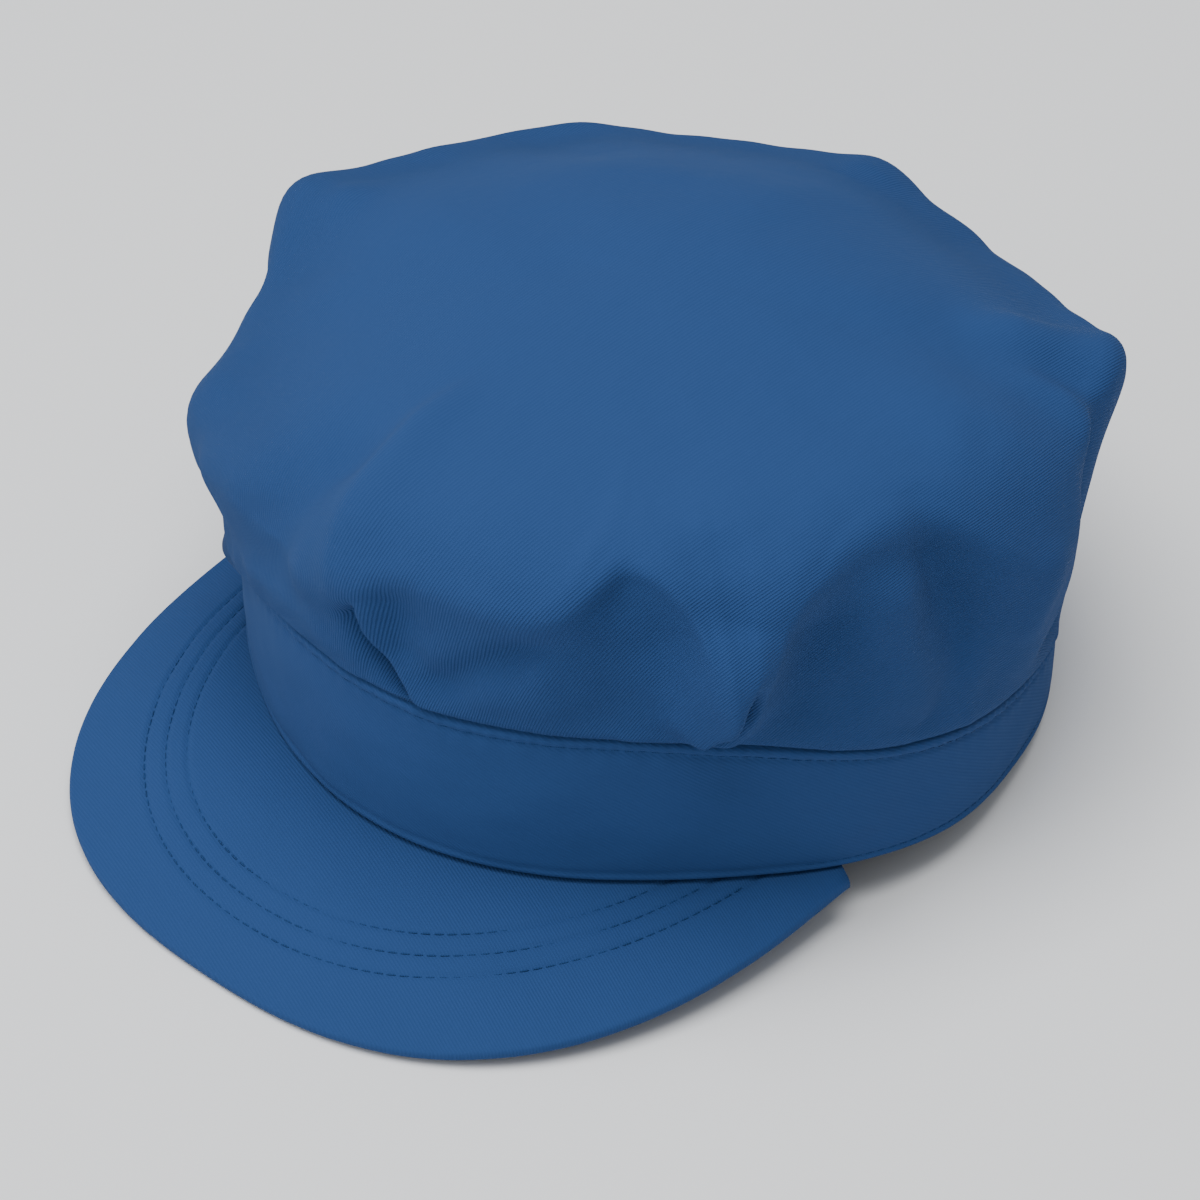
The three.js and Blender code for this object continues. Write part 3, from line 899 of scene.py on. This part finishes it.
def stitches(name, line, up):
    """One capsule for each stitch along a line of points: rings of an ellipse whose size is
    sqrt(1 - t^4) at t from -1 to 1 along it. up is the cloth's normal at each point."""
    along = np.concatenate([[0], np.cumsum(np.linalg.norm(np.diff(line, axis=0), axis=1))])
    middles = np.arange(STITCH_LONG, along[-1] - STITCH_LONG, STITCH_PITCH)

    def sample(values, place):
        return np.stack([np.interp(place, along, values[:, k]) for k in range(3)], axis=-1)

    nudge = 0.4
    centre = sample(line, middles)
    way = sample(line, middles + nudge) - sample(line, middles - nudge)
    way /= np.linalg.norm(way, axis=1, keepdims=True)
    normal = sample(up, middles)
    side = np.cross(way, normal)
    side /= np.linalg.norm(side, axis=1, keepdims=True)
    normal = np.cross(side, way)
    t = -np.cos(np.pi * np.arange(THREAD_RINGS) / (THREAD_RINGS - 1))
    size = np.sqrt(np.clip(1 - t**4, THREAD_TIP, 1))
    turn = 2 * np.pi * np.arange(THREAD_SIDES) / THREAD_SIDES
    ring = (
        way[:, None, None] * (t * STITCH_LONG / 2)[None, :, None, None]
        + side[:, None, None] * (size[:, None] * np.cos(turn) * THREAD_WIDE)[None, :, :, None]
        + normal[:, None, None] * (size[:, None] * np.sin(turn) * THREAD_TALL)[None, :, :, None]
        + centre[:, None, None]
    )
    points = ring.reshape(-1, 3)
    first = np.arange(THREAD_RINGS - 1)[:, None] * THREAD_SIDES
    here = first + np.arange(THREAD_SIDES)
    onward = first + (np.arange(THREAD_SIDES) + 1) % THREAD_SIDES
    side_faces = np.stack([here, onward, onward + THREAD_SIDES, here + THREAD_SIDES], axis=-1)
    fan = np.arange(1, THREAD_SIDES - 1, 2)
    near = np.stack([0 * fan, fan + 2, fan + 1, fan], axis=-1)
    far = near[:, ::-1] + (THREAD_RINGS - 1) * THREAD_SIDES
    one = np.concatenate([side_faces.reshape(-1, 4), near, far])[:, ::-1]
    starts = np.arange(len(middles)) * THREAD_RINGS * THREAD_SIDES
    faces = (one[None] + starts[:, None, None]).reshape(-1, 4)
    return new_mesh(name, points, faces, points[:, :2])


def band_stitches(name, at, wanted):
    """A line of stitches on the band's outer face, at these directions and heights. The face's
    rows are evenly spaced in height, so its radius is read between the two nearest."""
    radius, height = band_profile(at)
    low = height[:, 0]
    high = height[:, BAND_RISE_ROWS - 1]
    row = (wanted - low) / (high - low) * (BAND_RISE_ROWS - 1)
    under = np.floor(row).astype(int)[:, None]
    below, above = np.take_along_axis(radius, np.concatenate([under, under + 1], axis=1), 1).T
    reach = below + (above - below) * (row - under[:, 0])
    line = polar(at, reach + THREAD_PROUD, wanted)
    out = polar(at, np.ones(at.shape), 0)
    return stitches(name, line, out)


def peak_stitches(name, half_width, length):
    """A row of stitches on the peak: a superellipse in plan, laid on the peak's top between the
    places where it runs under the band. Its height is the mean of the nearest points of the
    grid, weighted by 1 / distance, and then a running mean along the row."""
    turn = np.linspace(-90, 90, PEAK_ALONG * 2 + 1)
    x, y = peak_curve(turn, ROW_SQUARENESS, half_width, length)
    at = np.degrees(np.arctan2(x, -y))
    clear = np.hypot(x, y) > column("foot", at) - UNDER_BAND
    place = np.stack([x[clear], y[clear]], axis=-1)
    surface = peak_top(*peak_grid()).reshape(-1, 3)
    apart = np.sum((surface[None, :, :2] - place[:, None]) ** 2, axis=-1)
    near = np.argpartition(apart, NEAREST, axis=1)[:, :NEAREST]
    weight = 1 / (np.sqrt(np.take_along_axis(apart, near, 1)) + NEAR_ENOUGH)
    height = np.sum(surface[near, 2] * weight, axis=1) / weight.sum(axis=1)
    padded = np.pad(height, EVEN_OUT // 2, mode="edge")
    height = np.convolve(padded, np.ones(EVEN_OUT) / EVEN_OUT, mode="valid")
    line = np.concatenate([place, height[:, None] - ROW_GROOVE + THREAD_RAISED], axis=1)
    up = np.tile((0.0, 0.0, 1.0), (len(line), 1))
    return stitches(name, line, up)


class Field:
    """A shader socket that takes part in sums: numbers and other fields are added to it, taken
    from it or multiplied, and each step is one Math node."""

    def __init__(self, tree, socket):
        self.tree = tree
        self.socket = socket

    def math(self, operation, *others, swap=False):
        inputs = [self, *others]
        if swap:
            inputs.reverse()
        return node(self.tree, "ShaderNodeMath", {"operation": operation}, inputs)

    def __add__(self, other):
        return self.math("ADD", other)

    __radd__ = __add__

    def __sub__(self, other):
        return self.math("SUBTRACT", other)

    def __rsub__(self, other):
        return self.math("SUBTRACT", other, swap=True)

    def __mul__(self, other):
        return self.math("MULTIPLY", other)

    __rmul__ = __mul__

    def sine(self):
        return self.math("SINE")

    def limited(self):
        return node(self.tree, "ShaderNodeClamp", {}, [self, 0.0, 1.0])

    def beside(self, output):
        """Another output of the same node."""
        return Field(self.tree, self.socket.node.outputs[output])


def node(tree, kind, settings, inputs, output=0):
    """Adds one node, with its settings and then its inputs, which are listed or named and are
    values or fields, and gives one output as a field, or None where it has none."""
    made = tree.nodes.new(kind)
    for name, value in settings.items():
        if name == "stops":
            ramp = made.color_ramp.elements
            for k, (place, colour) in enumerate(value):
                stop = ramp[k] if k < len(ramp) else ramp.new(place)
                stop.position = place
                stop.color = (*colour, 1)
        else:
            setattr(made, name, value)
    pairs = inputs.items() if isinstance(inputs, dict) else enumerate(inputs)
    for key, value in pairs:
        if isinstance(value, Field):
            tree.links.new(value.socket, made.inputs[key])
        else:
            made.inputs[key].default_value = value
    return Field(tree, made.outputs[output]) if made.outputs else None


def mix_colours(tree, share, first, second):
    """Mix of two colours; the Mix node's colour sockets are numbers 6 and 7, and its colour
    output is number 2."""
    settings = {"data_type": "RGBA", "blend_type": "MIX"}
    return node(tree, "ShaderNodeMix", settings, {0: share, 6: first, 7: second}, 2)


def empty_material(name):
    """A material with no nodes yet, and its tree."""
    material = bpy.data.materials.new(name)
    material.use_nodes = True
    material.node_tree.nodes.clear()
    return material, material.node_tree


# Directions in degrees of the twill's lines on the cut of each piece, their pitch in
# millimetres and how strong they are
TWILLS = {
    "crown": (89, 0.73, 1.0),
    "band": (-31, 0.79, 0.32),
    "peak": (-18, 0.62, 0.4),
}

# Twill: the length of a thread along its lines, how deep the lines are, how far they stray and
# how deep the ruffles under them are, all in millimetres; and the strength of the two bumps
THREAD_PITCH = 0.5
TWILL_DEEP = 0.29
STRAY = 0.5
RUFFLE_DEEP = 0.5
TWILL_BUMP = 0.75
RUFFLE_BUMP = 0.35

# Noises over the cut of the cloth: scale for each millimetre, detail and roughness. stray bends
# the lines, slub is the uneven yarn, which is long along the lines, patch shades the cloth in
# broad patches, fuzz is its nap and ruffle its low bumps.
NOISES = {
    "stray": (0.022, 1.0, 0.4),
    "slub": (1.0, 3.0, 0.6),
    "patch": (0.035, 3.0, 0.55),
    "fuzz": (2.4, 2.0, 0.7),
    "ruffle": (0.16, 2.0, 0.45),
}
SLUB_STRETCH = (0.12, 1.1, 1)

# How much of the rib the threads cut up, what the weave, the slub and the fuzz give to the tone
# and to the height, how much the patches even the colour out, and how rough the cloth is, which
# the tops of the weave are less
THREADS_CUT = 0.35
TONE_WEAVE = 0.55
TONE_SLUB = 0.35
TONE_FUZZ = 0.15
HEIGHT_WEAVE = 0.8
HEIGHT_FUZZ = 0.25
HEIGHT_SLUB = 0.2
PATCH_EVEN = 0.5
CLOTH_ROUGH = 0.93
WEAVE_SLEEK = 0.10

# On the crown the lines are worn flat in the middle of the top: how strong they are there, how
# much comes back for each metre from the middle, and how much of that is taken off, so that they
# come back between 67 and 94 mm from it
WORN = 0.2
WORN_SLOPE = 36
WORN_OFF = 2.4

# Colours, linear: the cloth's mean yarn, its palest and its deepest, the threads and the fuzz
YARN = (0.0195, 0.057, 0.170)
YARN_PALE = (0.0210, 0.0610, 0.182)
YARN_DEEP = (0.0170, 0.050, 0.150)
PEAK_THREAD = (0.007, 0.028, 0.09)
BAND_THREAD = (0.008, 0.031, 0.10)
THREAD_PALE = 1.8
FUZZ = (0.25, 0.42, 0.75)

# Sewing thread: the scale of its twist, how deep that is in millimetres, the strength of its
# bump, and how rough it is, which the tops of the twist are less
TWIST_SCALE = 900.0
TWIST_DEEP = 0.05
TWIST_BUMP = 0.5
THREAD_ROUGH = 0.75
TWIST_SLEEK = 0.1


def noise(tree, place, kind):
    """One of the cloth's noises, flat and between 0 and 1, at a place in millimetres."""
    scale, detail, rough = NOISES[kind]
    inputs = {"Vector": place, "Scale": scale, "Detail": detail, "Roughness": rough}
    return node(tree, "ShaderNodeTexNoise", {"noise_dimensions": "2D"}, inputs)


def twill(piece):
    """Blue cotton twill. Over the cut of the cloth, lines run in line_way degrees; a sine across
    them gives the rib, and a second sine along them, shifted from line to line, the threads."""
    line_way, pitch, depth = TWILLS[piece]
    material, tree = empty_material(f"{piece}_twill")
    cut = node(tree, "ShaderNodeUVMap", {"uv_map": "cloth"}, [])
    millimetres = node(
        tree, "ShaderNodeMapping", {"vector_type": "POINT"},
        {
            "Vector": cut,
            "Rotation": (0, 0, -math.radians(line_way)),
            "Scale": (1 / MM, 1 / MM, 1 / MM),
        },
    )
    along = node(tree, "ShaderNodeSeparateXYZ", {}, [millimetres])
    stray = noise(tree, millimetres, "stray")
    across = along.beside("Y") + (stray - 0.5) * STRAY
    rib_turn = across * (2 * math.pi / pitch)
    rib = rib_turn.sine() * 0.5 + 0.5
    threads = (along * (2 * math.pi / THREAD_PITCH) + rib_turn * 0.5).sine() * 0.5 + 0.5
    weave = (rib * (threads * THREADS_CUT + (1 - THREADS_CUT))).limited()
    stretched = node(
        tree, "ShaderNodeMapping", {"vector_type": "POINT"},
        {"Vector": millimetres, "Scale": SLUB_STRETCH},
    )
    slub = noise(tree, stretched, "slub")
    patch = noise(tree, millimetres, "patch")
    fuzz = noise(tree, millimetres, "fuzz")
    ruffle = noise(tree, millimetres, "ruffle")
    tone = (weave * TONE_WEAVE + slub * TONE_SLUB + fuzz * TONE_FUZZ).limited()
    shades = [(0.0, YARN_DEEP), (0.5, YARN), (1.0, YARN_PALE)]
    colour = node(tree, "ShaderNodeValToRGB", {"stops": shades}, [tone])
    colour = mix_colours(tree, (patch * PATCH_EVEN).limited(), colour, (*YARN, 1))
    height = weave * HEIGHT_WEAVE + fuzz * HEIGHT_FUZZ + slub * HEIGHT_SLUB
    if piece == "crown":
        from_middle = node(tree, "ShaderNodeVectorMath", {"operation": "LENGTH"}, [cut], 1)
        back = (from_middle * WORN_SLOPE - WORN_OFF).limited()
        height = height * (back * (1 - WORN) + WORN)
    bump = node(
        tree, "ShaderNodeBump", {},
        {"Strength": TWILL_BUMP * depth, "Distance": TWILL_DEEP * MM, "Height": height},
    )
    bump = node(
        tree, "ShaderNodeBump", {},
        {
            "Strength": RUFFLE_BUMP * depth,
            "Distance": RUFFLE_DEEP * MM,
            "Height": ruffle,
            "Normal": bump,
        },
    )
    finish_cloth(tree, colour, CLOTH_ROUGH - weave * WEAVE_SLEEK, bump)
    return material


def finish_cloth(tree, colour, rough, bump):
    """Matt cloth with a faint pale sheen from its fuzz, as the material's surface."""
    shader = node(
        tree, "ShaderNodeBsdfPrincipled", {},
        {
            "Base Color": colour,
            "Roughness": rough,
            "Normal": bump,
            "Specular IOR Level": 0.12,
            "Sheen Weight": 0.03,
            "Sheen Roughness": 0.55,
            "Sheen Tint": (*FUZZ, 1),
        },
    )
    node(tree, "ShaderNodeOutputMaterial", {}, {"Surface": shader})


def thread_material(name, deep):
    """Twisted sewing thread: fine slanting lines on a deeper blue."""
    material, tree = empty_material(name)
    place = node(tree, "ShaderNodeTexCoord", {}, []).beside("Object")
    twist = node(
        tree, "ShaderNodeTexWave", {"wave_type": "BANDS", "bands_direction": "DIAGONAL"},
        {"Vector": place, "Scale": TWIST_SCALE, "Distortion": 1.5, "Detail": 1.0},
    ).beside("Fac")
    pale = tuple(THREAD_PALE * part for part in deep)
    shades = [(0.0, deep), (1.0, pale)]
    colour = node(tree, "ShaderNodeValToRGB", {"stops": shades}, [twist])
    bump = node(
        tree, "ShaderNodeBump", {},
        {"Strength": TWIST_BUMP, "Distance": TWIST_DEEP * MM, "Height": twist},
    )
    finish_cloth(tree, colour, THREAD_ROUGH - twist * TWIST_SLEEK, bump)
    return material


def plain_material(name, colour, rough):
    """Even matt paint for the floor."""
    material = bpy.data.materials.new(name)
    material.use_nodes = True
    shader = material.node_tree.nodes["Principled BSDF"]
    shader.inputs["Base Color"].default_value = (*colour, 1)
    shader.inputs["Roughness"].default_value = rough
    return material


def band_centre_shift():
    """From the middle of the band's own outline to where the frame has it, in metres. The
    frame's origin is under the middle of the whole cap, and the shapes here are measured from
    the middle of the band."""
    at = np.arange(-180, 180, 3)
    outline = polar(at, column("foot", at) + BAND_BELLY, 0 * at)
    own = (outline.min(axis=0) + outline.max(axis=0)) / 2 * MM
    low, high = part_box("band")
    return Vector(((low.x + high.x) / 2 - own[0], (low.y + high.y) / 2 - own[1], 0))


def dress(piece, material, shift):
    """Puts a piece in its place in its own mesh, and gives it its material and its body."""
    piece.data.transform(Matrix.Translation(shift))
    piece.data.materials.append(material)
    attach(piece, "root")
    return piece


# Degrees between the points of the band's stitches
STITCH_STEP = 0.5


def build_cap():
    """The whole cap: three pieces of cloth and the lines of stitching on them."""
    shift = band_centre_shift()
    band_thread = thread_material("band_thread", BAND_THREAD)
    peak_thread = thread_material("peak_thread", PEAK_THREAD)
    crown = dress(crown_piece(), twill("crown"), shift)
    band = dress(band_piece(), twill("band"), shift)
    peak = dress(peak_piece(), twill("peak"), shift)
    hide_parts("crown")
    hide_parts("band")
    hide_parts("peak")
    at = np.arange(-180, 180 + STITCH_STEP, STITCH_STEP)
    top = band_stitches("band_top_stitches", at, band_top(at) - TOP_STITCH_DOWN)
    at = np.arange(HEM_FROM, 360 + STITCH_STEP - HEM_FROM, STITCH_STEP)
    hem = band_stitches("band_hem_stitches", at, band_foot(at) + HEM_UP)
    dress(top, band_thread, shift)
    dress(hem, band_thread, shift)
    for number, (half_width, length) in enumerate(PEAK_ROWS, 1):
        row = peak_stitches(f"peak_stitches_{number}", half_width, length)
        dress(row, peak_thread, shift)
    return shift


# Camera: its direction from the cap, its distance in metres, its focal length in pixels of the
# photo's frame, and where that frame has the middle of the band
CAMERA_AZIMUTH = 42
CAMERA_ELEVATION = 39.5
CAMERA_AWAY = 1.006
FOCAL_PIXELS = 4570
FRAME_PIXELS = 1200
CENTRE_PIXEL = (652, 662)
SENSOR = 36


def add_camera(shift):
    """A camera at the photo's angle, aimed at the middle of the band and shifted to frame."""
    turn = math.radians(CAMERA_AZIMUTH)
    rise = math.radians(CAMERA_ELEVATION)
    back = Vector((
        math.sin(turn) * math.cos(rise), -math.cos(turn) * math.cos(rise), math.sin(rise)
    ))
    lens = bpy.data.cameras.new("camera")
    lens.sensor_width = SENSOR
    lens.lens = FOCAL_PIXELS / FRAME_PIXELS * SENSOR
    lens.shift_x = (FRAME_PIXELS / 2 - CENTRE_PIXEL[0]) / FRAME_PIXELS
    lens.shift_y = (CENTRE_PIXEL[1] - FRAME_PIXELS / 2) / FRAME_PIXELS
    lens.clip_start = 0.01
    camera = bpy.data.objects.new("camera", lens)
    camera.location = shift + back * CAMERA_AWAY
    camera.rotation_euler = (-back).to_track_quat("-Z", "Y").to_euler()
    bpy.context.scene.collection.objects.link(camera)
    bpy.context.scene.camera = camera


# Lamps: place and size in metres, and power in watts; they all aim at one place in the cap
LIGHTS = {
    "overhead": ((0.0, -0.22, 1.5), 1.2, 26),
    "left": ((-0.65, -1.2, 0.45), 1.1, 7.5),
}
LIGHT_AIM = (0, 0, 0.05)
WORLD_LIGHT = 0.47
WORLD_COLOUR = (0.95, 0.97, 1)

# Floor: its size in metres, how far it lies below the cap in millimetres, and its paint
FLOOR_SIZE = 24
FLOOR_BELOW = 0.2
FLOOR_COLOUR = (0.86, 0.87, 0.88)
FLOOR_ROUGH = 0.9


def add_stage():
    """A pale floor, soft lamps and an even pale surrounding."""
    corners = np.array([(-1, -1, 0), (1, -1, 0), (1, 1, 0), (-1, 1, 0)]) * FLOOR_SIZE / 2 / MM
    floor = new_mesh("floor", corners - (0, 0, FLOOR_BELOW), [(0, 1, 2, 3)])
    floor.data.materials.append(plain_material("floor_paint", FLOOR_COLOUR, FLOOR_ROUGH))
    for name, (place, size, power) in LIGHTS.items():
        lamp = bpy.data.lights.new(name, "AREA")
        lamp.energy = power
        lamp.size = size
        light = bpy.data.objects.new(name, lamp)
        light.location = place
        aim = Vector(LIGHT_AIM) - Vector(place)
        light.rotation_euler = aim.to_track_quat("-Z", "Y").to_euler()
        bpy.context.scene.collection.objects.link(light)
    world = bpy.data.worlds.new("surroundings")
    world.use_nodes = True
    background = world.node_tree.nodes["Background"]
    background.inputs["Color"].default_value = (*WORLD_COLOUR, 1)
    background.inputs["Strength"].default_value = WORLD_LIGHT
    bpy.context.scene.world = world


cap_shift = build_cap()
add_stage()
add_camera(cap_shift)
